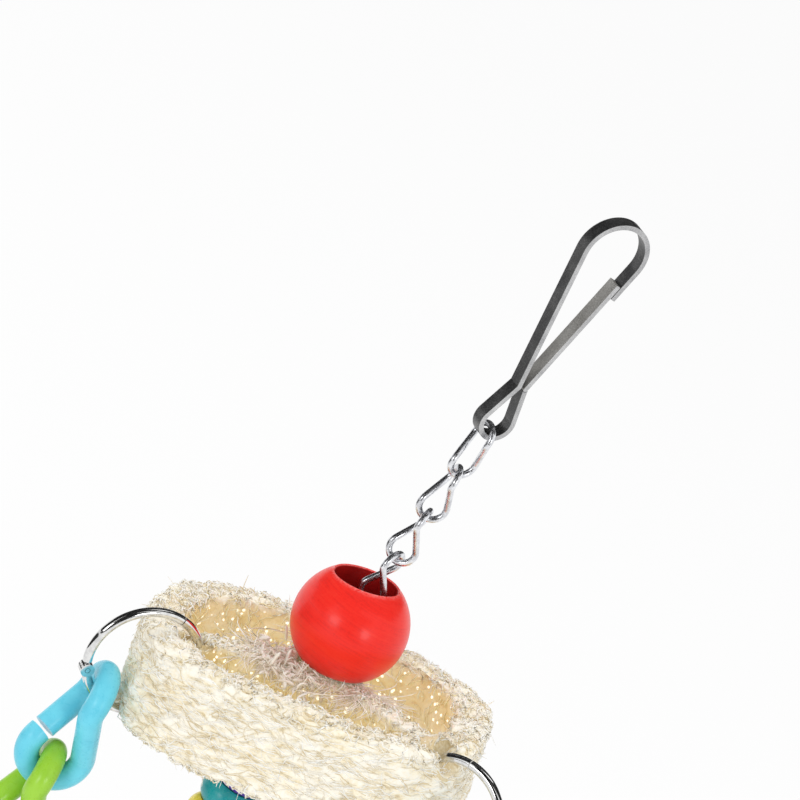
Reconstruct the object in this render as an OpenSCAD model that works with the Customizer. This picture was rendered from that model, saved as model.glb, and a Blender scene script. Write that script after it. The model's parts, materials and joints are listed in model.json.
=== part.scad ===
// Hanging bird swing: a snap hook and a twisted wire chain carry a wooden bead and a slice of
// natural loofah, and two strands of plastic links hang from its binder rings to the perch.
// The origin is the middle of the hook's crown, and +Z is up.

/* [Snap hook] */
// Radius of the crown, to the middle of the strip
crown_r = 6.05; // [5:0.05:8]
// Width of the flat strip
strip_w = 2.6; // [2:0.1:3.2]
// Thickness of the flat strip
strip_t = 0.9; // [0.7:0.05:1.2]
// Depth of the neck below the crown's middle
neck_drop = 27.9; // [24:0.1:34]
// Radius of the small loop, to the middle of the strip
loop_r = 3.05; // [2.6:0.05:3.6]
// Depth of the small loop's middle below the crown's middle
loop_drop = 35.5; // [33:0.1:44]
// Free gap between the two strips at the neck
neck_gap = 0.6; // [0.4:0.05:1.2]
// Length of the returning end below the crown
return_len = 6.2; // [5:0.1:8]
// Turn of the hook about the vertical, in degrees
hook_yaw = 40; // [0:5:45]
// Lean of the whole swing, which puts its weight below the crown, in degrees
lean = 3.5; // [0:0.1:6]

/* [Wire chain] */
// Radius of the links' ends, to the middle of the wire
link_w = 2.4; // [2.2:0.05:3]
// Thickness of the chain's wire
wire_d = 1.2; // [0.8:0.05:1.3]
// Length of a link, outside
link_len = 12; // [11:0.1:14]
// Radius at which each arm of a link bends
link_bend_r = 1.8; // [1.2:0.1:2.2]
// Number of links that run through the bead, the loofah and the barrel beads
core_links = 6; // [5:1:7]

/* [Red bead] */
// Diameter of the wooden bead
bead_d = 20.8; // [18:0.1:24]
// Diameter of the bead's bore
bead_bore = 11.5; // [10.5:0.1:12.5]
// Depth of the bead's middle below the crown's middle
bead_drop = 80.5; // [79:0.1:83]

/* [Loofah] */
// Length of the loofah slice
loofah_len = 63.4; // [58:0.2:68]
// Depth of the loofah slice, front to back
loofah_depth = 53; // [48:0.2:58]
// Thickness of the loofah slice
loofah_t = 18; // [15:0.1:20]
// Thickness of the loofah's outer wall
loofah_wall = 7; // [5:0.1:8]
// Radius of the loofah's core
loofah_core_r = 7.5; // [6.5:0.1:9]
// Thickness of the loofah's web
loofah_web = 5; // [3:0.1:7]
// Tilt of the bead and the loofah, in degrees
tilt = 13.5; // [10:0.5:16]

/* [Binder rings] */
// Radius of a ring, to the middle of its wire
ring_r = 10; // [9.5:0.05:10.5]
// Thickness of a ring's wire
ring_d = 1.7; // [1.3:0.05:1.9]
// Radius of the hinge knuckle
knuckle_r = 1.25; // [1.1:0.05:1.4]
// Width of the hinge knuckle
knuckle_w = 1.9; // [1.7:0.05:2.2]
// Diameter of the hinge pin
hinge_pin_d = 0.8; // [0.6:0.05:1]

/* [Plastic links] */
// Radius of a plastic link's ends, to the middle of its bar
clip_w = 4.9; // [4.75:0.05:5.4]
// Thickness of a plastic link's bar
clip_d = 4.4; // [3.8:0.05:4.5]
// Length of a plastic link, outside
clip_len = 26.4; // [25:0.1:28]
// Radius at which each arm of a plastic link bends
clip_bend_r = 3.2; // [2.6:0.1:3.3]
// Width of the cut through which a plastic link is opened
clip_cut = 1; // [0.5:0.1:2]

/* [Barrel beads] */
// Diameter of a barrel bead
barrel_d = 10.6; // [9.5:0.1:13]
// Length of a barrel bead
barrel_len = 4.85; // [4.6:0.05:5.4]
// Diameter of a barrel bead's hole
barrel_hole = 7.1; // [6.9:0.05:7.6]

/* [Stop ring] */
// Radius of the stop ring, to the middle of its wire
stop_r = 4.4; // [4.2:0.05:4.9]
// Thickness of the stop ring's wire
stop_d = 1.2; // [0.9:0.05:1.3]

/* [Perch] */
// Diameter of the perch
perch_d = 10; // [8:0.1:14]
// Length of the perch
perch_len = 96; // [84:0.5:130]
// Radius of a screw eye, to the middle of its wire
eye_r = 3.6; // [3.4:0.05:4.2]
// Thickness of a screw eye's wire
eye_d = 1.6; // [1.2:0.05:1.8]
// Depth of a screw eye's shank in the perch
shank_len = 7; // [4:0.1:8]

/* [Hidden] */

// How far a cut runs past what it cuts
overrun = 1;
// Seat gap between two steel wires that hang in each other
wire_gap = 0.15;
// Seat gap of a plastic link
clip_gap = 0.3;
// Seat gap where a plastic link hangs on a ring
hang_gap = 0.6;
// Running gap at a hinge
pin_gap = 0.08;
// Gap between soft or loose neighbours
rest_gap = 0.3;
// Gap between the gate and the returning end
gate_gap = 0.15;
// Step in size where one stretch of a bent bar or strip runs into the next, and its lap
seam = 0.004;
lap = 0.06;
facets = 96;

// Snap hook
crown_in_r = crown_r - strip_t / 2;
neck_x = (strip_t + neck_gap) / 2;
neck_l = [-neck_x, -neck_drop];
neck_r = [neck_x, -neck_drop];
neck_reach = norm(neck_r);
neck_ang = atan(neck_x / neck_drop);
gate_r = crown_r - strip_t - gate_gap;
gate_ang = neck_ang + acos(gate_r / neck_reach) - 90;
gate_foot = gate_r * [cos(gate_ang), sin(gate_ang)];
gate_dir = (gate_foot - neck_r) / norm(gate_foot - neck_r);
// The gate stops where it would reach into the crown's round
tip_back = sqrt(pow(crown_in_r + rest_gap, 2) - pow(gate_r - strip_t / 2, 2));
gate_tip = gate_foot - tip_back * gate_dir;
left_ang = 270 - neck_ang - acos(crown_r / neck_reach);
crown_l = crown_r * [cos(left_ang), sin(left_ang)];
crown_e = crown_r * [cos(gate_ang), sin(gate_ang)];
return_tip = crown_e + return_len * [sin(gate_ang), -cos(gate_ang)];
loop_c = [0, -loop_drop];
loop_up = loop_drop - neck_drop;
loop_off = atan(neck_x / loop_up) + acos(loop_r / norm([neck_x, loop_up]));
loop_l = loop_c + loop_r * [-sin(loop_off), cos(loop_off)];
loop_e = loop_c + loop_r * [sin(loop_off), cos(loop_off)];

// Chain: each link's ends are half rings, and its two arms twist a quarter turn between them
wire_r = wire_d / 2;
link_h = link_len / 2 - wire_r - link_w;
link_pitch = link_len - 2 * wire_d - wire_gap;
loop_in_z = -loop_drop - loop_r + strip_t / 2;
// The first link's end hangs on the two edges of the strip
link1_arc_z = loop_in_z - sqrt(pow(link_w - wire_r - wire_gap, 2) - pow(strip_w / 2, 2));
link1_z = link1_arc_z - link_h;
link_yaws = [40, 16, -5, -24];
core_yaw = -8;

function link_z(i) = link1_z - (i - 1) * link_pitch;
core_z = link_z(5);
core_last_z = link_z(4 + core_links);
core_end_z = core_last_z - link_h - link_w;

// Bead and loofah, in a frame tilted about the bead's middle
bead_r = bead_d / 2;
bore_r = bead_bore / 2;
bead_half = sqrt(pow(bead_r, 2) - pow(bore_r, 2));
bore_chamfer = 0.5;
loofah_top = -bead_half - rest_gap;
loofah_x = -2.2;
loofah_edge = 1.6;
loofah_power = 2.8;
outline_steps = 48;
hole_r = link_w + wire_r + 2 * rest_gap;
web_angles = [205, 330, 88];

// Binder rings, in upright planes: each middle is set out from the loofah's outline at a depth
// Y, and dips below the loofah's top
ring_wire_r = ring_d / 2;
left_ring_y = -13.8;
left_ring_out = -2.1;
left_ring_dip = 6.7;
left_ring_yaw = 212;
right_ring_y = -17.5;
right_ring_out = 2.7;
right_ring_dip = 10.3;
right_ring_yaw = -20;

function edge_x(y) = loofah_len / 2
  * pow(1 - pow(2 * abs(y) / loofah_depth, loofah_power), 1 / loofah_power);
function from_tilted(p) = [p[0] * cos(tilt) - p[2] * sin(tilt), p[1],
  p[0] * sin(tilt) + p[2] * cos(tilt) - bead_drop];
left_ring_c = from_tilted([loofah_x - edge_x(left_ring_y) - left_ring_out, left_ring_y,
  loofah_top - left_ring_dip]);
right_ring_c = from_tilted([loofah_x + edge_x(right_ring_y) + right_ring_out, right_ring_y,
  loofah_top - right_ring_dip]);
// Angles round a ring, from its lowest point outward
hang_ang = 24;
hinge_ang = 59;
open_ang = 191;
knuckle_ang = (knuckle_r + rest_gap) / ring_r * 180 / PI;
tongue_w = 0.6;
tongue_reach_share = 1.3;
tongue_t_share = 1.2;
butt_gap_ang = 1;
hinge_pin_r = hinge_pin_d / 2;

// Plastic links
clip_r = clip_d / 2;
clip_h = clip_len / 2 - clip_r - clip_w;
clip_pitch = clip_len - 2 * clip_d - clip_gap;
hang_up = (ring_wire_r + clip_r + hang_gap) / cos(hang_ang) - clip_w - clip_h;
cut_share = 0.8;
left_yaws = [18, 11, 4, -3];
right_yaws = [-20, -14, -8, -4];

function ring_point(c, yaw) = c + ring_r * [sin(hang_ang) * cos(yaw), sin(hang_ang) * sin(yaw),
  -cos(hang_ang)];
left_hang = ring_point(left_ring_c, left_ring_yaw);
right_hang = ring_point(right_ring_c, right_ring_yaw);
function clip_z(i) = hang_up - (i - 1) * clip_pitch;

// Barrel beads
barrel_r = barrel_d / 2;
barrel_hole_r = barrel_hole / 2;
stop_wire_r = stop_d / 2;
stop_z = core_end_z + wire_r + stop_wire_r + wire_gap - stop_r;
stop_shoulder = stop_z + sqrt(pow(stop_r + stop_wire_r, 2) - pow(barrel_hole_r, 2));
barrel_gap = 0.25;
barrel_pitch = barrel_len + barrel_gap;
barrel_round = 1.6;

// Perch and screw eyes, in a frame whose X runs from the left eye to the right one
eye_wire_r = eye_d / 2;
clip_end_z = clip_z(4) - clip_h - clip_w;
eye_up = clip_end_z + clip_r + eye_wire_r + clip_gap - eye_r;
span = right_hang - left_hang;
span_yaw = atan2(span[1], span[0]);
span_pitch = -asin(span[2] / norm(span));
eye_low = eye_r + eye_wire_r;
eye_clear = 0.4;
perch_low = eye_low + eye_clear + perch_d / 2;
shank_r = 1;
shank_gap = 0.05;
shank_lap = 0.2;
end_round = 1.5;

blue = [0.3, 0.75, 0.93];
green = [0.55, 0.8, 0.22];
yellow = [0.93, 0.85, 0.25];
purple = [0.42, 0.25, 0.65];
teal = [0.1, 0.6, 0.62];
orange = [0.95, 0.5, 0.15];

// A straight stretch of the strip between two points of the hook's plane
module strip_bar(p, q) {
  d = q - p;
  t = strip_t - 2 * seam;
  w = strip_w - 2 * seam;
  translate([p[0], 0, p[1]])
    rotate([0, 90 - atan2(d[1], d[0]), 0])
      translate([-t / 2, -w / 2, -lap])
        cube([t, w, norm(d) + 2 * lap]);
}

// A rounded corner of the strip
module strip_corner(p, r = strip_t / 2, w = strip_w) {
  translate([p[0], 0, p[1]]) rotate([90, 0, 0])
    cylinder(h = w, r = r, center = true, $fn = facets);
}

// An arc of the strip in the hook's plane, from angle a to angle b
module strip_arc(c, r, a, b) {
  translate([c[0], 0, c[1]]) rotate([90, 0, 0]) rotate([0, 0, a])
    rotate_extrude(angle = b - a, $fn = facets)
      translate([r, 0]) square([strip_t, strip_w], center = true);
}

// Crown, returning end, left arm and small loop, with the gate's seat at the right of the neck
module hook_frame() {
  color([0.55, 0.55, 0.56])
    rotate([0, 0, hook_yaw])
      difference() {
        union() {
          strip_arc([0, 0], crown_r, gate_ang, left_ang);
          strip_bar(crown_e, return_tip);
          strip_bar(crown_l, neck_l);
          strip_corner(neck_l);
          strip_bar(neck_l, loop_l);
          strip_arc(loop_c, loop_r, 90 + loop_off, 450 - loop_off);
          strip_bar(loop_e, neck_r);
        }
        strip_corner(neck_r, r = strip_t / 2 + pin_gap, w = strip_w + overrun);
      }
}

// Springing gate arm, with its round end in the seat
module hook_gate() {
  color([0.6, 0.6, 0.61])
    rotate([0, 0, hook_yaw]) {
      strip_corner(neck_r);
      strip_bar(neck_r, gate_tip);
    }
}

// Half ring of round bar: the upper half, in the plane of X and Z
module half_ring(r, bar_r) {
  rotate([90, 0, 0]) rotate_extrude(angle = 180, $fn = facets) translate([r, 0]) circle(bar_r);
}

// A stretch of round bar along an arc in the plane of X and Z, between two angles
module bar_arc(r, bar_r, a, b) {
  rotate([-90, 0, 0]) rotate([0, 0, a])
    rotate_extrude(angle = b - a, $fn = facets) translate([r, 0]) circle(bar_r);
}

// One arm of a twisted link: an arc, a straight stretch and an arc, in one upright plane
module twisted_arm(w, bar_r, h, bend_r) {
  side = w * sqrt(2);
  drop = 2 * h;
  reach = norm([side - 2 * bend_r, drop]);
  turn = atan((side - 2 * bend_r) / drop) + asin(2 * bend_r / reach);
  run = sqrt(pow(reach, 2) - pow(2 * bend_r, 2));
  lap_ang = lap / bend_r * 180 / PI;
  translate([0, -w, h]) rotate([0, 0, 45]) {
    translate([bend_r, 0, 0]) bar_arc(bend_r, bar_r - seam, 180 - turn, 180 + lap_ang);
    translate([bend_r * (1 - cos(turn)), 0, -bend_r * sin(turn)])
      rotate([0, 180 - turn, 0]) translate([0, 0, -lap])
        cylinder(h = run + 2 * lap, r = bar_r - 2 * seam, $fn = facets);
    translate([side - bend_r, 0, -drop]) bar_arc(bend_r, bar_r - seam, -turn, lap_ang);
  }
}

// A link whose lower end is turned a quarter turn from its upper end
module twisted_link(w, bar_r, h, bend_r) {
  translate([0, 0, h]) rotate([0, 0, 90]) half_ring(w, bar_r);
  translate([0, 0, -h]) mirror([0, 0, 1]) half_ring(w, bar_r);
  for (i = [0, 1]) rotate([0, 0, 180 * i]) twisted_arm(w, bar_r, h, bend_r);
}

module wire_link(yaw) {
  color([0.7, 0.71, 0.74]) rotate([0, 0, yaw]) twisted_link(link_w, wire_r, link_h, link_bend_r);
}

module chain_link(i) {
  translate([0, 0, link_z(i)]) wire_link(link_yaws[i - 1]);
}

module core_chain() {
  for (i = [0 : core_links - 1]) translate([0, 0, core_z - i * link_pitch]) wire_link(core_yaw);
}

module tilted() {
  translate([0, 0, -bead_drop]) rotate([0, -tilt, 0]) children();
}

module red_bead() {
  color([0.85, 0.12, 0.08])
    tilted()
      difference() {
        sphere(r = bead_r, $fn = facets);
        cylinder(h = 2 * bead_d, r = bore_r, center = true, $fn = facets);
        for (s = [0, 1]) mirror([0, 0, s]) translate([0, 0, bead_half - bore_chamfer])
          cylinder(h = 2 * bore_chamfer, r1 = bore_r, r2 = bore_r + 2 * bore_chamfer,
            $fn = facets);
      }
}

// Points of the loofah's rounded outline, drawn in by a margin
function loofah_points(inset) = [for (i = [0 : outline_steps - 1])
  let (a = 360 * i / outline_steps, c = cos(a), s = sin(a))
  [loofah_x + (loofah_len / 2 - inset) * sign(c) * pow(abs(c), 2 / loofah_power),
    (loofah_depth / 2 - inset) * sign(s) * pow(abs(s), 2 / loofah_power)]];

module loofah_slab(inset, z0, z1) {
  translate([0, 0, z0]) linear_extrude(z1 - z0) polygon(loofah_points(inset));
}

module web_bar(a) {
  translate([loofah_x, 0, 0]) rotate([0, 0, a])
    translate([0, -loofah_web / 2, loofah_top - loofah_t - 2 * overrun])
      cube([loofah_len, loofah_web, loofah_t + 4 * overrun]);
}

// The slice, its three seed cavities, the chain's hole and the rings' channels
module loofah() {
  low = loofah_top - loofah_t;
  color([0.93, 0.88, 0.72])
    difference() {
      tilted()
        difference() {
          union() {
            loofah_slab(loofah_edge, low, loofah_top);
            loofah_slab(loofah_edge / 3, low + loofah_edge / 3, loofah_top - loofah_edge / 3);
            loofah_slab(0, low + loofah_edge, loofah_top - loofah_edge);
          }
          difference() {
            loofah_slab(loofah_wall, low - overrun, loofah_top + overrun);
            translate([loofah_x, 0, low - 2 * overrun])
              cylinder(h = loofah_t + 4 * overrun, r = loofah_core_r, $fn = facets);
            for (a = web_angles) web_bar(a);
          }
        }
      translate([0, 0, -bead_drop - bead_r - 2 * loofah_t])
        cylinder(h = 3 * loofah_t, r = hole_r, $fn = facets);
      left_ring() ring_channel();
      right_ring() ring_channel();
    }
}

// In a ring's own frame X runs outward from the loofah and Z is up
module at_ring(c, yaw) {
  translate(c) rotate([0, 0, yaw]) children();
}

module left_ring() {
  at_ring(left_ring_c, left_ring_yaw) children();
}

module right_ring() {
  at_ring(right_ring_c, right_ring_yaw) children();
}

module ring_channel() {
  rotate([90, 0, 0]) rotate_extrude($fn = facets) translate([ring_r, 0])
    circle(ring_wire_r + rest_gap);
}

// Stretch of a ring between two angles counted from its lowest point outward
module ring_arc(a, b) {
  rotate([90, 0, 0]) rotate([0, 0, a - 90])
    rotate_extrude(angle = b - a, $fn = facets) translate([ring_r, 0]) circle(ring_wire_r);
}

module at_hinge() {
  rotate([0, 90 - hinge_ang, 0]) translate([ring_r, 0, 0]) rotate([90, 0, 0]) children();
}

// Fixed half, which runs through the loofah and ends in the hinge's fork
module ring_base() {
  color([0.72, 0.72, 0.74])
    difference() {
      union() {
        ring_arc(open_ang - 360, hinge_ang);
        at_hinge() cylinder(h = knuckle_w, r = knuckle_r, center = true, $fn = facets);
      }
      at_hinge() {
        cylinder(h = tongue_w + 2 * pin_gap, r = knuckle_r + rest_gap / 2, center = true,
          $fn = facets);
        cylinder(h = 2 * knuckle_w, r = hinge_pin_r + pin_gap, center = true, $fn = facets);
      }
    }
}

// Swinging half, with the hinge's tongue
module ring_arm() {
  color([0.75, 0.75, 0.77])
    difference() {
      union() {
        ring_arc(hinge_ang + knuckle_ang, open_ang - butt_gap_ang);
        rotate([90, 0, 0]) rotate([0, 0, hinge_ang - 90])
          rotate_extrude(angle = knuckle_ang * tongue_reach_share, $fn = facets)
            translate([ring_r, 0])
              square([ring_wire_r * tongue_t_share, tongue_w], center = true);
        at_hinge() cylinder(h = tongue_w, r = knuckle_r, center = true, $fn = facets);
      }
      at_hinge()
        cylinder(h = 2 * knuckle_w, r = hinge_pin_r + pin_gap, center = true, $fn = facets);
    }
}

module ring_pin() {
  color([0.6, 0.6, 0.62])
    at_hinge() cylinder(h = knuckle_w, r = hinge_pin_r, center = true, $fn = facets);
}

// Plastic link with a cut through its left arm
module clip(tint, yaw) {
  color(tint)
    rotate([0, 0, yaw])
      difference() {
        twisted_link(clip_w, clip_r, clip_h, clip_bend_r);
        cut_at(cut_share);
      }
}

// Place of the cut along the arm that runs from the back to the left
module cut_at(share) {
  side = clip_w * sqrt(2);
  slope = atan((side - 2 * clip_bend_r) / (2 * clip_h))
    + asin(2 * clip_bend_r / norm([side - 2 * clip_bend_r, 2 * clip_h]));
  rotate([0, 0, 180]) translate([0, -clip_w, clip_h]) rotate([0, 0, 45])
    translate([side * share, 0, -2 * clip_h * share]) rotate([0, -slope, 0])
      cube([clip_d + overrun, clip_d + overrun, clip_cut], center = true);
}

module strand_clip(hang, i, yaws, tint) {
  translate(hang + [0, 0, clip_z(i)]) clip(tint, yaws[i - 1]);
}

module barrel(i, tint) {
  top = stop_shoulder + rest_gap / 2 + (4 - i) * barrel_pitch + barrel_len;
  color(tint)
    translate([0, 0, top - barrel_len / 2])
      rotate_extrude($fn = facets)
        intersection() {
          translate([barrel_hole_r, -barrel_len / 2])
            square([barrel_r - barrel_hole_r, barrel_len]);
          translate([barrel_r - barrel_len / 2 - barrel_round / 2, 0])
            circle(barrel_len / 2 + barrel_round / 2);
        }
}

module stop_ring() {
  color([0.7, 0.71, 0.74])
    translate([0, 0, stop_z]) rotate([0, 0, 90 + core_yaw]) rotate([90, 0, 0])
      rotate_extrude($fn = facets) translate([stop_r, 0]) circle(stop_wire_r);
}

// The perch's own frame: origin at the left eye's middle, X towards the right eye
module at_perch() {
  translate(left_hang + [0, 0, eye_up]) rotate([0, 0, span_yaw]) rotate([0, span_pitch, 0])
    children();
}

module perch() {
  half = norm(span) / 2;
  color([0.85, 0.7, 0.5])
    at_perch()
      difference() {
        translate([half, 0, -perch_low]) rotate([0, 90, 0])
          rotate_extrude($fn = facets)
            union() {
              translate([0, -perch_len / 2 + end_round])
                square([perch_d / 2, perch_len - 2 * end_round]);
              translate([0, -perch_len / 2]) square([perch_d / 2 - end_round, perch_len]);
              for (s = [-1, 1]) translate([perch_d / 2 - end_round,
                s * (perch_len / 2 - end_round)]) circle(end_round);
            }
        for (x = [0, 2 * half]) translate([x, 0, perch_d / 2 - perch_low - shank_len])
          cylinder(h = shank_len + perch_d, r = shank_r + shank_gap, $fn = facets);
      }
}

// Steel eye on a shank that runs into the perch
module screw_eye(x) {
  color([0.72, 0.72, 0.74])
    at_perch() translate([x, 0, 0]) {
      rotate([0, 0, 90]) rotate([90, 0, 0])
        rotate_extrude($fn = facets) translate([eye_r, 0]) circle(eye_wire_r);
      translate([0, 0, perch_d / 2 - perch_low - shank_len])
        cylinder(h = shank_len + eye_clear + shank_lap + eye_wire_r, r = shank_r, $fn = facets);
    }
}

// The whole swing as it hangs
module hung() {
  rotate([lean, 0, 0]) children();
}

hung() hook_frame();
hung() hook_gate();
hung() chain_link(1);  // link_1
hung() chain_link(2);  // link_2
hung() chain_link(3);  // link_3
hung() chain_link(4);  // link_4
hung() core_chain();
hung() red_bead();
hung() loofah();
hung() left_ring() ring_base();  // left_ring_base
hung() left_ring() ring_arm();  // left_ring_arm
hung() left_ring() ring_pin();  // left_ring_pin
hung() right_ring() ring_base();  // right_ring_base
hung() right_ring() ring_arm();  // right_ring_arm
hung() right_ring() ring_pin();  // right_ring_pin
hung() barrel(1, purple);  // purple_bead
hung() barrel(2, teal);  // teal_bead
hung() barrel(3, yellow);  // yellow_bead
hung() barrel(4, orange);  // orange_bead
hung() stop_ring();
hung() strand_clip(left_hang, 1, left_yaws, blue);  // left_clip_1
hung() strand_clip(left_hang, 2, left_yaws, green);  // left_clip_2
hung() strand_clip(left_hang, 3, left_yaws, yellow);  // left_clip_3
hung() strand_clip(left_hang, 4, left_yaws, purple);  // left_clip_4
hung() strand_clip(right_hang, 1, right_yaws, blue);  // right_clip_1
hung() strand_clip(right_hang, 2, right_yaws, green);  // right_clip_2
hung() strand_clip(right_hang, 3, right_yaws, yellow);  // right_clip_3
hung() strand_clip(right_hang, 4, right_yaws, purple);  // right_clip_4
hung() perch();
hung() screw_eye(0);  // left_eye
hung() screw_eye(norm(span));  // right_eye
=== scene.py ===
# %% [markdown]
# # A hanging bird swing
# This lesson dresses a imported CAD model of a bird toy: a flat steel snap hook, a twisted wire
# chain, a red wooden bead, a slice of dried loofah, two binder rings, strands of plastic links
# and a wooden perch. The metal, wood and plastic solids already have the right shape, so they
# only need materials. The loofah is different: the CAD holds a smooth block, and the real thing
# is a mat of plant fibres, so it is rebuilt here from thousands of small strands.
#
# The first step loads the model as a fixed frame and notes its box, because nothing that is
# added may change the size of the product.

# %% Load the frame
import json
import math
import random

import bpy
import numpy as np
from mathutils import Matrix, Vector, noise
from mathutils.bvhtree import BVHTree
from mathutils.kdtree import KDTree

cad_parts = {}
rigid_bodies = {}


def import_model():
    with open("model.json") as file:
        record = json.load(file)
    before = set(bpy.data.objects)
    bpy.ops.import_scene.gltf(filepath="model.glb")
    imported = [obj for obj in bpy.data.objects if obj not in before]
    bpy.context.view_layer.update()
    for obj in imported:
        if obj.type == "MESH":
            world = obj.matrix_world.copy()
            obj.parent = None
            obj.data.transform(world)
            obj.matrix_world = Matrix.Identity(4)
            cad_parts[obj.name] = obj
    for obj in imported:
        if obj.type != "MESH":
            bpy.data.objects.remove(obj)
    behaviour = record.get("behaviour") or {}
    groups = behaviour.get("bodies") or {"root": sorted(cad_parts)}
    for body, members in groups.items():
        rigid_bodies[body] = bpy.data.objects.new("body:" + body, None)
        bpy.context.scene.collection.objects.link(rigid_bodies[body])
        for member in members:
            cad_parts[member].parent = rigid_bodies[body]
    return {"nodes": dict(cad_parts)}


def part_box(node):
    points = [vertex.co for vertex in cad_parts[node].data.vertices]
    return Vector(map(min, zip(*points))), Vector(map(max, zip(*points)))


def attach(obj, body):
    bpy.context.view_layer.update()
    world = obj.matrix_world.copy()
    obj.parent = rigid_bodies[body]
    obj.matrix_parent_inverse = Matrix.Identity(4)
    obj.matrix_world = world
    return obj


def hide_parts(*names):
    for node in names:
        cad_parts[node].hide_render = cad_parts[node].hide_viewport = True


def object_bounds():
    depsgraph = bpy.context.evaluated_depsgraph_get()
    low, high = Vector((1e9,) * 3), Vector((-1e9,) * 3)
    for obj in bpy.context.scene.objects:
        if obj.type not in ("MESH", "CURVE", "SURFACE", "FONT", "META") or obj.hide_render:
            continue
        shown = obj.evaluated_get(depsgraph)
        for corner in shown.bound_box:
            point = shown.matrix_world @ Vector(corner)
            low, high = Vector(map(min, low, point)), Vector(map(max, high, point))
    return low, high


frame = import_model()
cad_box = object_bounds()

MM = 0.001
nodes = frame["nodes"]
print("CAD box, mm:", [[round(v / MM, 1) for v in corner] for corner in cad_box])

# %% [markdown]
# ## Writing materials as sums
# A material is a graph of nodes, and a graph built one link at a time is hard to read. The small
# class below wraps a socket and overloads + - * < and >, so that a pattern can be written as an
# expression such as 1 - grain * 0.3. Anything that isn't plain arithmetic goes through one
# method, which takes the node's type, its settings and its inputs. The floor, the cards and the
# sky are written with the same classes as the toy's own finishes.

# %% Sockets and finishes
class Socket:
    """A node's output. Arithmetic on it adds Math nodes to its graph."""

    def __init__(self, graph, output):
        self.graph, self.output = graph, output

    def maths(self, operation, *values):
        return self.graph.node("Math", {"operation": operation}, dict(enumerate(values)))

    def __add__(self, other):
        return self.maths("ADD", self, other)

    def __sub__(self, other):
        return self.maths("SUBTRACT", self, other)

    def __rsub__(self, other):
        return self.maths("SUBTRACT", other, self)

    def __mul__(self, other):
        return self.maths("MULTIPLY", self, other)

    def __gt__(self, other):
        return self.maths("GREATER_THAN", self, other)

    def __lt__(self, other):
        return self.maths("LESS_THAN", self, other)

    def size(self):
        return self.maths("ABSOLUTE", self)

    def root(self):
        return self.maths("SQRT", self)

    def at_most(self, other):
        return self.maths("MINIMUM", self, other)

    __radd__ = __add__
    __rmul__ = __mul__


class Graph:
    """The nodes of a material or of the world, added by the expressions that describe it."""

    def __init__(self, owner):
        owner.use_nodes = True
        self.tree = owner.node_tree

    def node(self, kind, settings=None, inputs=None, output=0):
        made = self.tree.nodes.new("ShaderNode" + kind)
        for key, value in (settings or {}).items():
            if key == "stops":
                for _ in range(len(value) - 2):
                    made.color_ramp.elements.new(0.5)
                for stop, (place, colour) in zip(made.color_ramp.elements, value):
                    stop.position, stop.color = place, (*colour, 1)
            else:
                setattr(made, key, value)
        for key, value in (inputs or {}).items():
            self.feed(made.inputs[key], value)
        return Socket(self, made.outputs[output])

    def feed(self, socket, value):
        if isinstance(value, Socket):
            self.tree.links.new(value.output, socket)
        elif socket.type == "RGBA" and len(value) == 3:
            socket.default_value = (*value, 1)
        else:
            socket.default_value = value

    def seen(self):
        """1 for rays that show the background: from the camera, by reflection or glass."""
        rays = [self.node("LightPath", output=f"Is {kind} Ray")
            for kind in ("Camera", "Glossy", "Transmission")]
        return (rays[0] + rays[1] + rays[2]).at_most(1.0)


class Finish(Graph):
    """A material round the Principled shader."""

    def __init__(self, name, **constants):
        self.material = bpy.data.materials.new(name)
        super().__init__(self.material)
        self.shader = self.tree.nodes["Principled BSDF"]
        self.set(**constants)

    def set(self, **values):
        """Feeds the Principled shader: base_color=..., roughness=... and so on."""
        for key, value in values.items():
            name = key.replace("_", " ").title().replace("Ior", "IOR")
            self.feed(self.shader.inputs[name], value)

    def place(self):
        """The point on the surface in the model's own metres, which rides with the piece."""
        return self.node("TexCoord", output="Object")

    def scaled(self, vector, scale, turn=(0, 0, 0)):
        return self.node("Mapping", {"vector_type": "POINT"},
            {"Vector": vector, "Scale": scale, "Rotation": turn})

    def clouds(self, vector, scale, detail=3, rough=0.55):
        return self.node("TexNoise", {}, {"Vector": vector, "Scale": scale, "Detail": detail,
            "Roughness": rough})

    def ramp(self, share, *stops):
        return self.node("ValToRGB", {"stops": stops}, {"Fac": share})

    def mix(self, share, first, second):
        return self.node("Mix", {"data_type": "RGBA"}, {0: share, 6: first, 7: second}, 2)

    def spread(self, value, low, high, to_low=0.0, to_high=1.0):
        return self.node("MapRange", {}, {"Value": value, "From Min": low, "From Max": high,
            "To Min": to_low, "To Max": to_high})

    def dot(self, vector, direction):
        return self.node("VectorMath", {"operation": "DOT_PRODUCT"}, {0: vector, 1: direction},
            "Value")

    def bump(self, height, depth, strength=1.0):
        """A bump of a real depth in metres."""
        self.set(normal=self.node("Bump", {}, {"Height": height, "Distance": depth,
            "Strength": strength}))


def wear(finish, *names):
    """Gives CAD nodes a finish."""
    for name in names:
        nodes[name].data.materials.clear()
        nodes[name].data.materials.append(finish.material)
    print(finish.material.name, "on", len(names), "nodes")

# %% [markdown]
# ## Camera
# The model hangs by its hook, and leans a few degrees so that its weight is below the crown.
# Everything that is placed on the toy is worked out in its upright frame and then leant.
#
# The photograph is turned: its up direction leans 35 degrees to the right. The camera looks
# slightly down on the toy, and is rolled by those degrees about its line of sight. A long lens
# keeps the near and far links the same size, as a product photographer would, and the frame is
# 136 mm wide where the toy hangs.

# %% Camera
LEAN = Matrix.Rotation(math.radians(3.5), 3, "X")
LOOK_DOWN, ROLL = math.radians(17.5), math.radians(35)
FRAME_W, DISTANCE, SENSOR = 136 * MM, 0.9, 36.0
AIM = Vector((-15.05, 0, -42.3)) * MM

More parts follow.
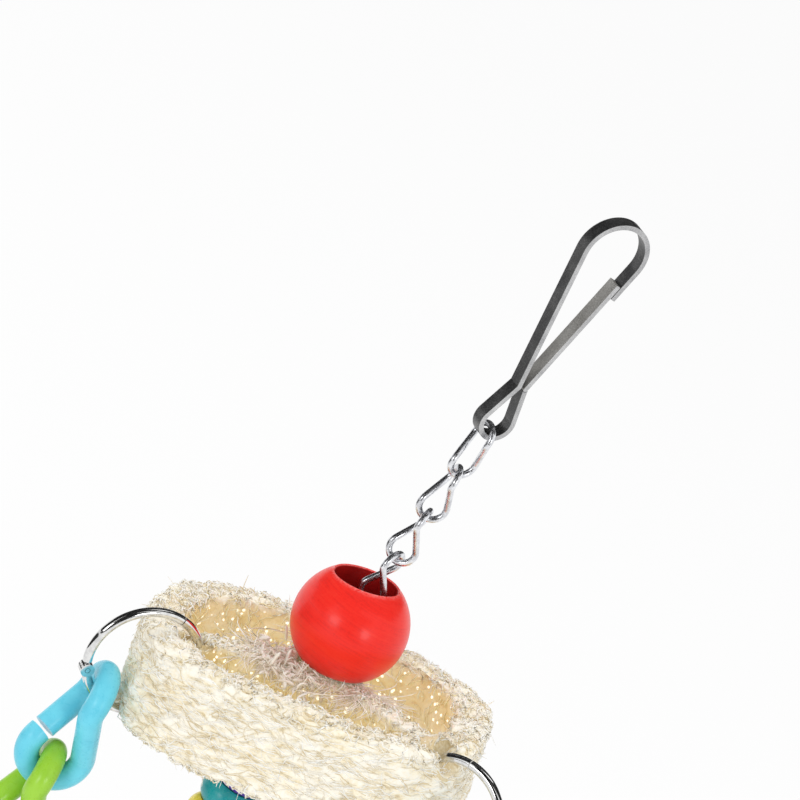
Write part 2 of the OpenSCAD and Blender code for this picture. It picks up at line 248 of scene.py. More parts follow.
back = Vector((0, -math.cos(LOOK_DOWN), math.sin(LOOK_DOWN)))
rise = Vector((0, math.sin(LOOK_DOWN), math.cos(LOOK_DOWN)))
right = Vector((1, 0, 0))
cam_x = math.cos(ROLL) * right + math.sin(ROLL) * rise
cam_y = -math.sin(ROLL) * right + math.cos(ROLL) * rise

camera = bpy.data.objects.new("camera", bpy.data.cameras.new("camera"))
camera.data.sensor_width = SENSOR
camera.data.lens = SENSOR * DISTANCE / FRAME_W
camera.data.clip_start, camera.data.clip_end = 0.05, 30
turn = Matrix((cam_x, cam_y, back)).transposed().to_4x4()
camera.matrix_world = LEAN.to_4x4() @ Matrix.Translation(AIM + DISTANCE * back) @ turn
bpy.context.scene.collection.objects.link(camera)
bpy.context.scene.camera = camera
print("lens, mm:", round(camera.data.lens, 1))

# %% [markdown]
# ## A white studio
# The floor is pale and catches the shadow. For rays that come straight from the camera, or by
# way of shiny metal, it is mixed with plain white light, so that the background reads white
# without more lamps. The sky is the same white for the camera and a dimmer one for the lighting.
#
# Two soft boxes stand left and right of the camera: they make the two soft spots on the bead.
# A third one above brightens the loofah's top. Steel needs something dark to reflect, or it
# looks like plastic, so five dark cards that only reflections see stand for the unlit room.

# %% Floor and sky
FLOOR_Z = min(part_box(name)[0].z for name in nodes) - 10 * MM
FLOOR_GLOW = 0.87
SKY_LIGHTS, SKY_SEEN = 0.79, 1.0


def flat_piece(name, size, centre, normal, finish):
    """A rectangle that faces a direction, for the floor and the cards."""
    mesh = bpy.data.meshes.new(name)
    w, h = size[0] / 2, size[1] / 2
    facing = Vector(normal).to_track_quat("Z", "Y").to_matrix()
    mesh.from_pydata([Vector(centre) + facing @ Vector(p)
        for p in ((-w, -h, 0), (w, -h, 0), (w, h, 0), (-w, h, 0))], [], [(0, 1, 2, 3)])
    mesh.materials.append(finish.material)
    made = bpy.data.objects.new(name, mesh)
    bpy.context.scene.collection.objects.link(made)
    return made


pale = Finish("pale_floor", base_color=(0.92, 0.92, 0.92), roughness=0.9)
blend = pale.node("MixShader", {}, {0: pale.seen() * FLOOR_GLOW,
    1: Socket(pale, pale.shader.outputs[0]), 2: pale.node("Emission")})
pale.feed(pale.tree.nodes["Material Output"].inputs["Surface"], blend)
flat_piece("floor", (9, 9), (0, 0, FLOOR_Z), (0, 0, 1), pale)

world = bpy.data.worlds.new("studio")
bpy.context.scene.world = world
sky = Graph(world)
background = sky.tree.nodes["Background"]
sky.feed(background.inputs["Color"], (1, 1, 1))
sky.feed(background.inputs["Strength"],
    sky.node("Mix", {}, {0: sky.seen(), 2: SKY_LIGHTS, 3: SKY_SEEN}))
print("floor, mm below the hook:", round(-FLOOR_Z / MM, 1))

# %% Cards and lamps
UPWARDS = (0, 0, 1)
LAMP_AIM, LAMP_DISTANCE = Vector((0, 0, -0.085)), 1.0

dark = Finish("dark_card", base_color=(0.02, 0.02, 0.02), roughness=1.0)
for name, size, place in (("card_front", (2.4, 1.5), (0.0, -1.5, 0.45)),
        ("card_top", (3.2, 3.2), (-0.2, 0.3, 0.8)), ("card_left", (1.7, 1.6), (-1.5, -0.3, 0.5)),
        ("card_low", (0.46, 0.46), (-0.4, -0.12, -0.19)),
        ("card_table", (1.5, 0.5), (0.0, -0.6, -0.16))):
    card = flat_piece(name, size, place, -Vector(place) if place[2] > 0 else UPWARDS, dark)
    card.visible_camera = card.visible_shadow = card.visible_diffuse = False


def soft_box(name, direction, size, power):
    """A round area lamp that looks at the toy's middle."""
    lamp = bpy.data.objects.new(name, bpy.data.lights.new(name, "AREA"))
    lamp.data.shape, lamp.data.size, lamp.data.energy = "DISK", size, power
    lamp.location = LAMP_AIM + LAMP_DISTANCE * Vector(direction).normalized()
    lamp.rotation_euler = (lamp.location - LAMP_AIM).to_track_quat("Z", "Y").to_euler()
    bpy.context.scene.collection.objects.link(lamp)


soft_box("left_box", (-0.48, -0.88, 0.05), 0.35, 1.35)
soft_box("right_box", (0.56, -0.80, 0.22), 0.30, 1.15)
soft_box("top_box", (-0.15, 0.25, 1.0), 0.9, 3.1)

# %% [markdown]
# ## Steel of the hook
# The hook is stamped and bent from plated strip. Its rolled faces are satin with a fine speckle,
# and their dark tone is a painted reflection of the dark room. The sheared edges carry a painted
# bright highlight, which is partly the real brighter shear. Which face a point lies on is known
# from its normal: the edges face along the normal of the hook's plane. One material could be given
# to the faces and another to the edges, but the bends would need each face picked by hand. The
# gate's faces are painted lighter than the frame's, a painted reflection, as they face another
# way.

# %% Hook steel
HOOK_YAW = math.radians(40)
hook_side = LEAN @ Vector((-math.sin(HOOK_YAW), math.cos(HOOK_YAW), 0))


def steel_with_painted_reflection(name, metallic, *tones):
    """Plated strip: speckled faces in three tones of painted reflection, and sheared edges with a
    painted highlight.
    """
    made = Finish(name, metallic=metallic)
    edge = made.spread(made.dot(made.node("NewGeometry", output="Normal"), hook_side).size(),
        0.55, 0.9)
    at = made.place()
    speckle, patch = made.clouds(at, 5200, detail=2), made.clouds(at, 260, detail=3)
    # The face tones are painted reflection and the bright edge tones are a painted highlight,
    # chosen by the surface normal.
    face = made.ramp(speckle * 0.6 + patch * 0.4, *zip((0.34, 0.5, 0.68), tones))
    bright = made.ramp(patch * 0.5 + speckle * 0.5, (0.35, (0.36, 0.36, 0.37)),
        (0.65, (0.68, 0.68, 0.68)))
    made.set(base_color=made.mix(edge, face, bright),
        roughness=made.spread(speckle, 0.3, 0.7, 0.3, 0.5) - edge * 0.1)
    made.bump(speckle, 0.00004, 0.5)
    return made


# Tones of painted reflection: dark for the frame's faces, lighter for the gate's.
FRAME_PAINTED_REFLECTION = (0.07, 0.07, 0.075), (0.13, 0.13, 0.13), (0.28, 0.28, 0.28)
GATE_PAINTED_REFLECTION = (0.24, 0.23, 0.21), (0.40, 0.39, 0.37), (0.62, 0.61, 0.58)
wear(steel_with_painted_reflection("hook_steel", 0.9, *FRAME_PAINTED_REFLECTION), "hook_frame")
wear(steel_with_painted_reflection("gate_steel", 0.6, *GATE_PAINTED_REFLECTION), "hook_gate")

# %% [markdown]
# ## Wire and chrome
# The chain is bright zinc plated wire, drawn through a die, so it has faint lines along it and
# a slightly uneven sheen. The binder rings are nickel chrome, nearly a mirror. The screw eyes
# are plain plated steel, duller than the rest. All three follow one recipe: soft clouds drive the
# tone and the roughness a little, since bare metal of one flat value looks like a drawing.

# %% Wire steel, ring chrome and screw-eye steel
wire = Finish("wire_steel", metallic=1.0)
at = wire.place()
dull, fine = wire.clouds(at, 700, detail=4), wire.clouds(at, 4200, detail=2)
wire.set(base_color=wire.ramp(dull, (0.3, (0.62, 0.63, 0.66)), (0.65, (0.90, 0.91, 0.94))),
    roughness=wire.spread(fine, 0.3, 0.7, 0.2, 0.36))
wire.bump(fine * 0.6 + dull * 0.4, 0.00004, 0.6)
wear(wire, "link_1", "link_2", "link_3", "link_4", "core_chain", "stop_ring")


def plated(name, scale, tones, roughness, depth, strength):
    """Plated steel: one soft pattern for the tone, the sheen and the bump."""
    made = Finish(name, metallic=1.0)
    haze = made.clouds(made.place(), scale, detail=3)
    made.set(base_color=made.ramp(haze, *tones), roughness=made.spread(haze, *roughness))
    made.bump(haze, depth, strength)
    return made


chrome = plated("ring_chrome", 900, tones=((0.35, (0.66, 0.66, 0.66)), (0.6, (0.84, 0.84, 0.83))),
    roughness=(0.35, 0.7, 0.05, 0.13), depth=0.00001, strength=0.3)
eye_steel = plated("eye_steel", 800, tones=((0.3, (0.48, 0.49, 0.5)), (0.7, (0.78, 0.78, 0.8))),
    roughness=(0.3, 0.7, 0.18, 0.34), depth=0.00003, strength=0.5)
wear(chrome, *[f"{side}_ring_{piece}" for side in ("left", "right")
    for piece in ("base", "arm", "pin")])
wear(eye_steel, "left_eye", "right_eye")

# %% [markdown]
# ## The wooden bead
# The bead is turned beech or birch, dipped in red paint. The paint is thin: grain and turning
# lines show through as very low ridges. The sharp lip of the bore carries a pale painted
# highlight, a rim light painted into the colour, and the inside of the bore is painted dark red as
# painted shade. A mask could be painted by hand, but distance from the bead's own axis tells the
# lip and the bore from the outside by itself.

# %% Red paint
TILT = math.radians(13.5)
BEAD_C = LEAN @ Vector((0, 0, -80.5)) * MM
BEAD_R, BORE_R = 10.4 * MM, 5.75 * MM
LIP_FROM, LIP_TO, BORE_EDGE = 0.35 * MM, 0.95 * MM, 0.08 * MM
# The pale lip colour is a painted highlight; the dark bore colour is painted shade.
LIP_PAINTED_HIGHLIGHT, BORE_PAINTED_SHADE = (0.93, 0.42, 0.4), (0.22, 0.004, 0.006)
axis_dir = LEAN @ Vector((-math.sin(TILT), 0, math.cos(TILT)))

paint = Finish("red_paint", specular_ior_level=0.25, coat_weight=0.3, coat_roughness=0.2)
at = paint.place()
offset = paint.node("VectorMath", {"operation": "SUBTRACT"}, {0: at, 1: BEAD_C})
along = paint.dot(offset, axis_dir)
reach = paint.node("VectorMath", {"operation": "LENGTH"}, {0: offset}, "Value")
radius = (reach * reach - along * along).root()

blotch = paint.clouds(paint.scaled(offset, (60, 260, 60)), 3, detail=4)
turning = paint.clouds(paint.scaled(offset, (170, 170, 2600), (0, TILT, 0)), 1, detail=4)
tooth = paint.clouds(offset, 2600, detail=4)
colour = paint.ramp(tooth * 0.3 + blotch * 0.15 + turning * 0.55, (0.3, (0.76, 0.012, 0.006)),
    (0.5, (0.92, 0.016, 0.007)), (0.75, (0.93, 0.035, 0.014)))
lip = paint.spread(radius, BORE_R + LIP_FROM, BORE_R + LIP_TO, 1.0, 0.0)
inside = radius < BORE_R + BORE_EDGE
# Painted highlight on the bore's lip, broken by noise, and painted shade inside the bore.
lip_highlight_mask = (lip * paint.spread(tooth, 0.35, 0.6)) * (1 - inside)
colour = paint.mix(lip_highlight_mask * 0.4, colour, LIP_PAINTED_HIGHLIGHT)
colour = paint.mix(inside * 0.75, colour, BORE_PAINTED_SHADE)
paint.set(base_color=colour, roughness=paint.spread(tooth, 0.3, 0.7, 0.3, 0.44))
paint.bump(turning * 0.7 + tooth * 0.3, 0.00009, 0.6)
wear(paint, "red_bead")
print("bead radius, mm:", round(BEAD_R / MM, 2), "bore radius, mm:", round(BORE_R / MM, 2))

# %% [markdown]
# ## Coloured plastic
# The links and the barrel beads are moulded in bright polypropylene. Their gloss is high but
# not perfect: moulds leave a faint ripple, and handling dulls some patches. A thin clear coat
# carries the gloss and the rougher layer below it carries the colour. One function makes each
# colour, because only the colour changes from piece to piece.

# %% Plastics
def plastic(name, colour, deep):
    """Glossy moulded plastic, with a deeper tone where the ripple thins it."""
    made = Finish(name, coat_weight=0.2, coat_roughness=0.16, specular_ior_level=0.35)
    at = made.place()
    ripple = made.clouds(at, 190, detail=2)
    scuff = made.clouds(at, 1300, detail=4, rough=0.7)
    made.set(base_color=made.mix(made.spread(ripple, 0.35, 0.65), deep, colour),
        roughness=made.spread(scuff, 0.4, 0.75, 0.26, 0.42))
    made.bump(ripple * 0.8 + scuff * 0.2, 0.00012, 0.35)
    return made


blue = plastic("blue_plastic", (0.17, 0.70, 0.87), (0.13, 0.62, 0.80))
green = plastic("green_plastic", (0.36, 0.68, 0.05), (0.29, 0.60, 0.03))
yellow = plastic("yellow_plastic", (0.86, 0.74, 0.10), (0.78, 0.64, 0.06))
purple = plastic("purple_plastic", (0.15, 0.06, 0.42), (0.11, 0.04, 0.34))
teal = plastic("teal_plastic", (0.02, 0.36, 0.40), (0.01, 0.29, 0.33))
orange = plastic("orange_plastic", (0.90, 0.28, 0.03), (0.80, 0.22, 0.02))
for finish, number in ((blue, 1), (green, 2), (yellow, 3), (purple, 4)):
    wear(finish, f"left_clip_{number}", f"right_clip_{number}")
for finish, colour in ((purple, "purple"), (teal, "teal"), (yellow, "yellow"), (orange, "orange")):
    wear(finish, colour + "_bead")

# %% [markdown]
# ## The perch
# The perch is a plain turned dowel. A wood picture would repeat and show its seams, so the grain
# is worked out: the noise is stretched along the dowel and squeezed across it, and a few darker
# fibres lie on top. The dowel hangs a little askew, so its slope is read from its own box.

# %% Perch wood
PERCH_D = 10 * MM
dowel = Finish("perch_wood")
lo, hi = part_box("perch")
slope = math.atan2(hi.z - lo.z - PERCH_D, hi.x - lo.x)
at = dowel.place()
grain_at = dowel.scaled(at, (60, 900, 900), (0, slope, 0))
grain = dowel.clouds(grain_at, 1.0, detail=5, rough=0.6)
flecks = dowel.clouds(dowel.scaled(at, (110, 3600, 3600), (0, slope, 0)), 1.0, detail=3)
wood = dowel.ramp(grain, (0.28, (0.50, 0.33, 0.17)), (0.5, (0.66, 0.47, 0.27)),
    (0.72, (0.74, 0.57, 0.36)))
wood = dowel.mix(dowel.spread(flecks, 0.62, 0.72) * 0.5, wood, (0.36, 0.21, 0.1))
dowel.set(base_color=wood, roughness=dowel.spread(grain, 0.3, 0.7, 0.5, 0.68))
dowel.bump(grain * 0.6 + flecks * 0.4, 0.0001, 0.5)
wear(dowel, "perch")
print("perch slope, degrees:", round(math.degrees(slope), 2))

# %% [markdown]
# ## The loofah's body
# A loofah is the dried skeleton of a gourd: a thick outer wall of matted fibres round three
# seed cavities, held together by thin webs at the core. A smooth block would need a very strong
# bump map to look like that, and a bump can't change the outline. So the body is remeshed from
# the CAD block at a little over half a millimetre, its sharp rims are worn round, and each point
# is then pressed inwards. Pressing inwards only keeps the body inside the CAD block.
#
# To know the wall from the cavities, each point is seen in the slice's own level frame, where the
# slice's outline is a rounded oval.

# %% Loofah sizes and directions
LOOFAH_X, LOOFAH_L, LOOFAH_D, LOOFAH_T = -2.2 * MM, 63.4 * MM, 53 * MM, 18 * MM
WALL, POWER = 7 * MM, 2.8
BEAD_GAP = 0.3 * MM
TOP_Z = -(math.sqrt(BEAD_R ** 2 - BORE_R ** 2) + BEAD_GAP)
CAVITY_EDGE, CAVITY_FADE = 1.09, 0.06
RIM_DEPTH, RIM_FADE = 0.9 * MM, 1.2 * MM

to_world = np.array(LEAN @ Matrix.Rotation(-TILT, 3, "Y"))


def flat_view(points):
    """World points in the slice's own level frame, which is centred on the bead."""
    return (np.asarray(points) - np.array(BEAD_C)) @ to_world


def oval(points, inset=0.0):
    """1 on the slice's rounded outline, drawn in by an inset, and less inside it."""
    across = np.abs(points[:, 0] - LOOFAH_X) / (LOOFAH_L / 2 - inset)
    deep = np.abs(points[:, 1]) / (LOOFAH_D / 2 - inset)
    return (across ** POWER + deep ** POWER) ** (1 / POWER)


def cavity_share(points):
    """1 on the walls of the seed cavities, 0 on the outside and the cut faces."""
    within = np.clip((CAVITY_EDGE - oval(points, WALL)) / CAVITY_FADE, 0, 1)
    below = np.clip((TOP_Z - RIM_DEPTH - points[:, 2]) / RIM_FADE, 0, 1)
    above = np.clip((points[:, 2] - TOP_Z + LOOFAH_T - RIM_DEPTH) / RIM_FADE, 0, 1)
    return within * below * above


print("slice, mm:", [round(v / MM, 1) for v in (LOOFAH_L, LOOFAH_D, LOOFAH_T)])

# %% Remesh the block
VOXEL = 0.55 * MM
body = bpy.data.objects.new("loofah_body", nodes["loofah"].data.copy())
bpy.context.scene.collection.objects.link(body)
for key, settings in (("REMESH", {"mode": "VOXEL", "voxel_size": VOXEL}),
        ("SMOOTH", {"factor": 0.5, "iterations": 7})):
    step = body.modifiers.new(key.lower(), key)
    for name, value in settings.items():
        setattr(step, name, value)
ready = body.evaluated_get(bpy.context.evaluated_depsgraph_get())
body_mesh = bpy.data.meshes.new_from_object(ready)
body.modifiers.clear()
body.data = body_mesh

count = len(body_mesh.vertices)
points, normals = np.empty(count * 3), np.empty(count * 3)
body_mesh.vertices.foreach_get("co", points)
body_mesh.vertices.foreach_get("normal", normals)
points, normals = points.reshape(-1, 3), normals.reshape(-1, 3)
level = flat_view(points)
inner = cavity_share(level)
print("remeshed body:", count, "points,", round(100 * inner.mean()), "% of them in cavities")

# %% [markdown]
# ## Pits, lumps and room for the rings
# Three things press a point inwards. Pits are fine and lie in rows round the wall, because the
# outer fibres run round the gourd: a coordinate along the outline is squeezed, height is not.
# Lumps are broad and shallow. Round the binder rings the felt gives way, so that the wire goes
# into a dent instead of through a hard skin. A tree of the rings' own points finds the nearest
# wire, which is quicker than testing each piece of the rings' surface.

# %% Press the body
RADIUS = LOOFAH_L / 2.2
ROUND, OUTWARD, UPWARD = 0.42, 0.8, 1.15
PIT_SCALE, LUMP_SCALE = 900, 170
PIT_SEED, LUMP_SEED = 3.1, 7.7
PIT_MM, LUMP_MM, CAVITY_CALM = 0.85, 0.55, 0.45
DEEPEST = 1.1 * MM
LEFT_ROOM, RIGHT_ROOM, TIGHT = 1.8 * MM, 2.7 * MM, 0.3 * MM


def fractal(points, scale, seed):
    """Smooth noise from -1 to 1 at each point."""
    shift = Vector((seed, seed * 1.7, seed * 2.3))
    return np.array([noise.fractal(Vector(p) * scale + shift, 1.0, 2.0, 2) for p in points])


around = np.arctan2(level[:, 1], level[:, 0] - LOOFAH_X)
wrapped = np.stack([around * RADIUS * ROUND, np.hypot(level[:, 0], level[:, 1]) * OUTWARD,
    level[:, 2] * UPWARD], 1)
pits, lumps = fractal(wrapped, PIT_SCALE, PIT_SEED), fractal(points, LUMP_SCALE, LUMP_SEED)
depth = np.clip(pits + 0.1, 0, 1) * PIT_MM * MM * (1 - CAVITY_CALM * inner)
depth += np.clip(0.5 + lumps, 0, 1) * LUMP_MM * MM

wires = [v.co for side in ("left", "right") for part in ("base", "arm")
    for v in nodes[f"{side}_ring_{part}"].data.vertices]
rings_near = KDTree(len(wires))
for i, spot in enumerate(wires):
    rings_near.insert(spot, i)
rings_near.balance()
to_ring = np.array([rings_near.find(Vector(p))[2] for p in points])
room = np.where(points[:, 0] > 0, RIGHT_ROOM, LEFT_ROOM)
depth += np.clip((room - to_ring) / MM, 0, 1) * (room - TIGHT)
points = points - normals * depth[:, None]

body_mesh.vertices.foreach_set("co", points.ravel())
# The first attribute keeps how deep a point was pressed; the finish paints deep places darker as
# painted shade.
for name, values in (("pit", np.clip(depth / DEEPEST, 0, 1)), ("inner", inner)):
    layer = body_mesh.attributes.new(name, "FLOAT", "POINT")
    layer.data.foreach_set("value", values)
body_mesh.polygons.foreach_set("use_smooth", [True] * len(body_mesh.polygons))
body_mesh.update()
print("pressed inwards by up to", round(depth.max() / MM, 2), "mm")

# %% [markdown]
# ## Loofah fibres
# Thousands of strands lie on the body. Each one starts at a random place on its surface and
# walks a few steps: on the outer wall mostly round the gourd, on the cut faces in any
# direction, and in the cavities mostly up and down. After every step the strand is put back
# onto the surface with a small lift that rises and falls, so that strands pass over each other
# as in a felt. A hair system would be quicker to set up, but it leaves no real mesh. So all
# strands of a kind share one mesh of thin four-sided tubes, which is far lighter than thousands
# of curve objects.
#
# First come the places where a strand can start, and a way to pick one by its area.

# %% Places to start
CUT_BAND = 1.3 * MM
chance = random.Random(20)
skin = BVHTree.FromPolygons([Vector(p) for p in points],
    [tuple(p.vertices) for p in body_mesh.polygons])
areas = np.empty(len(body_mesh.polygons))
body_mesh.polygons.foreach_get("area", areas)
ladder = np.cumsum(areas)
face_level = flat_view([p.center for p in body_mesh.polygons])
face_inner = cavity_share(face_level)
cut_face = np.abs(face_level[:, 2] - TOP_Z + LOOFAH_T / 2) > LOOFAH_T / 2 - CUT_BAND
outside = (face_inner < 0.3) & ~cut_face
in_cavity = face_inner > 0.5
UP = Vector(axis_dir)


def pick(allowed):
    """A random face, by area, of those that are allowed."""
    while True:
        face = min(int(np.searchsorted(ladder, chance.random() * ladder[-1])), len(allowed) - 1)
        if allowed[face]:
            return body_mesh.polygons[face]


for name, faces in (("outside", outside), ("cut faces", cut_face), ("cavities", in_cavity)):
    print(name, "-", int(faces.sum()), "faces")

# %% [markdown]
# ## Tubes
# A strand is a row of points with a radius. Some strands are ribbons rather than threads, so a
# strand may also name a flat side. Its ends are drawn in to a blunt tip and closed, since a
# mesh that is to be printed has no open ends. A strand that meets a ring at once has only one
# point, and leaves a flake too small to see.

# %% Tube maker
TIP, RIBBON, SIDES, TINY = 0.45, 0.6, 4, 1e-9


def tubes(name, strands):
    """One mesh of closed thin tubes. A strand is its points, radius, tone and flat side.
    Hairs that would leave the CAD box are pressed flat against it."""
    verts, faces, tones = [], [], []
    for path, thick, tone, facing in strands:
        first = len(verts)
        for i, here in enumerate(path):
            ahead = path[min(i + 1, len(path) - 1)] - path[max(i - 1, 0)]
            if ahead.length < TINY:
                ahead = Vector((0, 0, 1))
            side = ahead.cross(facing) if facing else ahead.orthogonal()
            side = (side if side.length > TINY else ahead.orthogonal()).normalized()
            up = ahead.normalized().cross(side) * (RIBBON if facing else 1.0)
            taper = thick * (TIP if i in (0, len(path) - 1) else 1.0)
            for k in range(SIDES):
                angle = 2 * math.pi * k / SIDES
                verts.append(here + taper * (math.cos(angle) * side + math.sin(angle) * up))
                tones.append(tone)
        for i in range(len(path) - 1):
            a = first + i * SIDES
            for k in range(SIDES):
                n = (k + 1) % SIDES
                faces.append((a + k, a + n, a + SIDES + n, a + SIDES + k))
        last = first + (len(path) - 1) * SIDES
        faces.append(tuple(first + k for k in reversed(range(SIDES))))
        faces.append(tuple(last + k for k in range(SIDES)))
    mesh = bpy.data.meshes.new(name)
    mesh.from_pydata(np.clip(verts, *np.array(cad_box)), [], faces)
    layer = mesh.attributes.new("tone", "FLOAT", "POINT")
    layer.data.foreach_set("value", tones)
    mesh.polygons.foreach_set("use_smooth", [True] * len(mesh.polygons))
    made = bpy.data.objects.new(name, mesh)
    bpy.context.scene.collection.objects.link(made)
    print(name, "-", len(strands), "strands,", len(faces), "faces")
    return made


# %% [markdown]
# ## Strands that creep over the body
# A strand keeps its heading, wanders a little at every step, and stops where it meets a ring.
# The three kinds differ only in where they start, which way they head, how long and thick they
# are, and how far they lift, so one function lays all of them.

# %% Strands of the wall, the cut faces and the cavities
ANY_TURN, WAVE, RING_CLEAR, STUCK = 6.3, 1.5, 0.5 * MM, 1e-6


def creep(face, heading, steps, stride, lift, wander):
    """A strand that walks over the body's skin from a face."""
    spot, facing = Vector(face.center), Vector(face.normal)
    path, phase = [], chance.uniform(0, ANY_TURN)
    for i in range(steps):
        path.append(spot + facing * lift * (0.5 + 0.5 * math.sin(phase + i * WAVE)))
        heading = heading - heading.dot(facing) * facing
        if heading.length < STUCK:
            break
        heading = Matrix.Rotation(chance.gauss(0, wander), 3, facing) @ heading.normalized()
        spot, facing = skin.find_nearest(spot + heading * stride)[:2]
        if rings_near.find(spot)[2] < RING_CLEAR:
            break
    return path


def round_the_gourd(face):
    """Along the wall, either way, and a little off it."""
    out = Vector(face.normal)
    flat = out - out.dot(UP) * UP
    along = UP.cross(flat) if flat.length > STUCK else UP.orthogonal()
    along = along * chance.choice((-1, 1))
    return Matrix.Rotation(chance.gauss(0, 0.32), 3, face.normal) @ along


def any_way(face):
    """In any direction within the cut face."""
    across = Vector(face.normal).orthogonal()
    return Matrix.Rotation(chance.uniform(0, ANY_TURN), 3, face.normal) @ across


def up_and_down(face):
    """Mostly along the gourd's axis."""
    return Matrix.Rotation(chance.gauss(0, 0.6), 3, face.normal) @ UP


def lay(number, allowed, aim, steps, stride, lift, wander, thick, ribbon):
    """Strands as points, radius, tone and flat side. Lengths are in millimetres."""
    laid = []
    for _ in range(number):
        face = pick(allowed)
        path = creep(face, aim(face), chance.randint(*steps), chance.uniform(*stride) * MM,
            lift * MM, wander)
        laid.append((path, chance.uniform(*thick) * MM, chance.random(),
            Vector(face.normal) if ribbon else None))
    return laid


wall = lay(3700, outside, round_the_gourd, steps=(5, 8), stride=(0.55, 0.85), lift=0.24,
    wander=0.2, thick=(0.055, 0.11), ribbon=True)
rims = lay(3600, cut_face, any_way, steps=(4, 7), stride=(0.4, 0.7), lift=0.62,
    wander=0.55, thick=(0.08, 0.16), ribbon=False)
hollow = lay(1500, in_cavity, up_and_down, steps=(4, 7), stride=(0.5, 0.9), lift=0.34,
    wander=0.3, thick=(0.10, 0.20), ribbon=True)
print("strands laid:", len(wall) + len(rims) + len(hollow))

# %% [markdown]
# ## Loose wisps
# Two more kinds of strand leave the surface. Short hairs stand off the cut faces and the wall,
# and make the outline fuzzy. Longer ones cross the webs and the near cavity in bundles, where
# the core was torn.

# %% Hairs and wisps
HAIRS, WISPS = 600, 520
WEBS = [math.radians(a) for a in (205, 330, 88)]


def world_point(x, y, z):
    """A point of the slice's level frame, in the world."""
    return Vector(to_world @ np.array((x, y, z))) + BEAD_C


hairs, wisps = [], []
for i in range(HAIRS):
    face = pick(cut_face if i % 4 else outside)
    spot, out = Vector(face.center), Vector(face.normal)
    bend = Vector([chance.gauss(0, 1) for _ in range(3)])
    reach = chance.uniform(0.4, 1.2) * MM
    path = [spot + reach * s * (out + bend * (0.25 + 0.55 * s)) for s in (0, 0.35, 0.7, 1)]
    hairs.append((path, chance.uniform(0.04, 0.09) * MM, chance.random(), None))

for i in range(WISPS):
    angle = WEBS[i % 3] + chance.gauss(0, 0.16)
    start, run = chance.uniform(3.5, 12) * MM, chance.uniform(3, 9) * MM
    swerve = chance.gauss(0, 0.9)
    height = TOP_Z - abs(chance.gauss(0.4, 1.0)) * MM
    path = []
    for s in (0, 0.2, 0.4, 0.6, 0.8, 1):
        r, a = start + run * s, angle + swerve * s * 0.4
        sag = 0.5 * MM * math.sin(3.1 * s) - 0.2 * MM
        path.append(world_point(LOOFAH_X + r * math.cos(a), r * math.sin(a), height + sag))
    wisps.append((path, chance.uniform(0.05, 0.11) * MM, chance.random(), None))
print(len(hairs), "hairs and", len(wisps), "wisps")

# %% [markdown]
# ## The torn core
# Where the bead's chain passes, the core has been torn open: curled tatters stand round the
# bead's foot on the near side, and one in five is a broad one. Each starts on the web or the
# near rim, rises, and curls over. A point that would fall inside the bead is pushed out to just
# beyond it.

# %% Tatters
TATTERS, TATTER_STEPS, STRIDE_MM = 420, 6, 0.62
NEAR_SIDE, SPREAD = 238, 34
BROAD, NARROW = (0.22, 0.42), (0.07, 0.15)
BESIDE_BEAD = BEAD_R + 0.35 * MM
TO_VIEWER = Vector((0, -1, 0.3))

tatters = []
for i in range(TATTERS):
    angle, r = math.radians(chance.gauss(NEAR_SIDE, SPREAD)), chance.uniform(6, 12.5) * MM
    spot = world_point(LOOFAH_X + r * math.cos(angle), r * math.sin(angle),
        TOP_Z - chance.uniform(0.2, 1.8) * MM)
    heading = UP * chance.uniform(0.2, 1.0) + Vector([chance.gauss(0, 0.7) for _ in range(3)])
    curl = Vector([chance.gauss(0, 0.5) for _ in range(3)]) - UP * 0.35
    path = []
    for _ in range(TATTER_STEPS):
        away = spot - BEAD_C
        if away.length < BESIDE_BEAD:
            spot = BEAD_C + away.normalized() * BESIDE_BEAD
        path.append(spot.copy())
        heading = (heading.normalized() + curl * 0.55).normalized()
        spot = spot + heading * STRIDE_MM * MM
    broad = i % 5 == 0
    thick = chance.uniform(*(BROAD if broad else NARROW)) * MM
    tatters.append((path, thick, chance.random(), TO_VIEWER if broad else None))
print(len(tatters), "tatters")

# %% [markdown]
# ## Loofah finishes
# The body and the strands need separate finishes. The body shows between the strands, and its
# colour is painted darker towards the pits, ochre in the deepest: painted shade. In the cavities
# it is a warmer, clearer yellow, and small white dots that glow stand for light through pinholes:
# painted light. The strands run from straw to almost white, each with its own tone, and those on
# the webs lean towards grey-pink.
#
# Dry fibre is thin enough to let light through. Real scattering inside thousands of strands
# would be slow, so a very weak glow of the fibre's own colour stands for it.

# %% Loofah body finish
WALL_GLOW, CAVE_GLOW, HOLE_GLOW = (0.05, 0.036, 0.014), (0.09, 0.065, 0.03), (0.85, 0.78, 0.58)
HOLE_SIZE, HOLE_PAINTED_LIGHT = 0.24, (1.0, 0.98, 0.92)

felt = Finish("loofah_body", roughness=0.9, specular_ior_level=0.15, emission_strength=1.0)
at = felt.place()
pit = felt.node("Attribute", {"attribute_name": "pit"}, output="Fac")
hollow_share = felt.node("Attribute", {"attribute_name": "inner"}, output="Fac")
grit = felt.clouds(at, 1900, detail=3)
stain = felt.clouds(at, 130, detail=3)
# Both ramps darken towards deep pits: painted shade in the pits, ochre on the wall.
outer = felt.ramp(pit * 0.5 + grit * 0.5, (0.35, (0.96, 0.93, 0.84)),
    (0.55, (0.92, 0.85, 0.67)), (0.8, (0.70, 0.57, 0.34)))
cave = felt.ramp(stain * 0.35 + grit * 0.4 + pit * 0.4, (0.25, (0.97, 0.91, 0.74)),
    (0.5, (0.93, 0.82, 0.53)), (0.75, (0.78, 0.63, 0.30)))
cells = felt.node("TexVoronoi", {"feature": "F1"}, {"Vector": at, "Scale": 820}, "Distance")
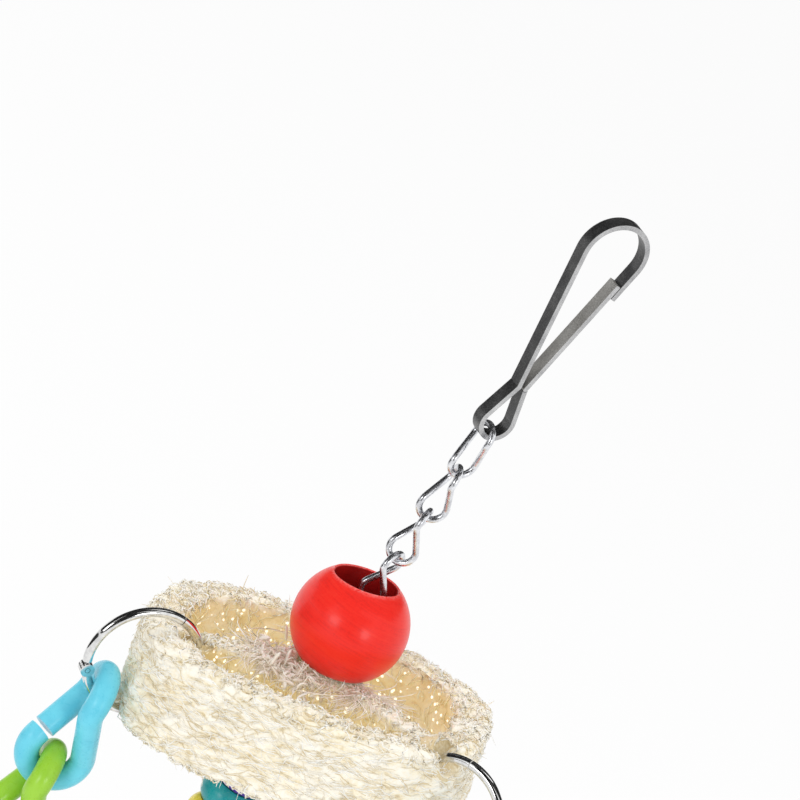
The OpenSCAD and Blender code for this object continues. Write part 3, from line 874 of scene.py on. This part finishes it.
# White dots in the cavities, white in colour and glowing: painted light for light through
# pinholes.
hole_light_mask = (cells < HOLE_SIZE) * (felt.clouds(at, 210, detail=1) > 0.4) * hollow_share
colour = felt.mix(hollow_share, outer, cave)
glow = felt.mix(hole_light_mask, CAVE_GLOW, HOLE_GLOW)
felt.set(base_color=felt.mix(hole_light_mask, colour, HOLE_PAINTED_LIGHT),
    emission_color=felt.mix(hollow_share, WALL_GLOW, glow))
felt.bump(grit, 0.0002, 0.6)
print("loofah body finish:", len(felt.tree.nodes), "nodes")

# %% Strand finishes
STRAND_GLOW = (0.045, 0.038, 0.024)


def straw(name, *stops):
    """A strand finish: each strand has a tone of its own, with slight mottling."""
    made = Finish(name, specular_ior_level=0.2, emission_strength=1.0,
        emission_color=STRAND_GLOW)
    tone = made.node("Attribute", {"attribute_name": "tone"}, output="Fac")
    mottle = made.clouds(made.place(), 900, detail=3)
    made.set(base_color=made.ramp(tone * 0.6 + mottle * 0.4, *stops),
        roughness=made.spread(mottle, 0.3, 0.7, 0.45, 0.75))
    made.bump(mottle, 0.00005, 0.4)
    return made


cream = straw("cream_strands", (0.24, (0.76, 0.65, 0.44)), (0.42, (0.93, 0.89, 0.79)),
    (0.75, (0.98, 0.98, 0.96)))
warm = straw("cavity_strands", (0.2, (0.93, 0.82, 0.52)), (0.5, (0.96, 0.88, 0.62)),
    (0.8, (0.98, 0.95, 0.80)))
ashen = straw("web_strands", (0.2, (0.72, 0.62, 0.52)), (0.5, (0.88, 0.81, 0.74)),
    (0.8, (0.96, 0.94, 0.90)))

# %% [markdown]
# ## Putting the loofah in place
# The pressed body takes the place of the CAD block, and all the strands ride with it, so that
# the whole slice turns as one piece on its chain.

# %% Loofah in place
body_mesh.materials.clear()
body_mesh.materials.append(felt.material)
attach(body, "loofah")
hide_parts("loofah")
for name, strands, finish in (("loofah_wall_strands", wall, cream),
        ("loofah_rim_strands", rims, cream), ("loofah_cavity_strands", hollow, warm),
        ("loofah_hairs", hairs, cream), ("loofah_wisps", wisps, ashen),
        ("loofah_tatters", tatters, ashen)):
    piece = tubes(name, strands)
    piece.data.materials.append(finish.material)
    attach(piece, "loofah")

# %% [markdown]
# ## Finish


bpy.context.scene.view_settings.view_transform = "Standard"
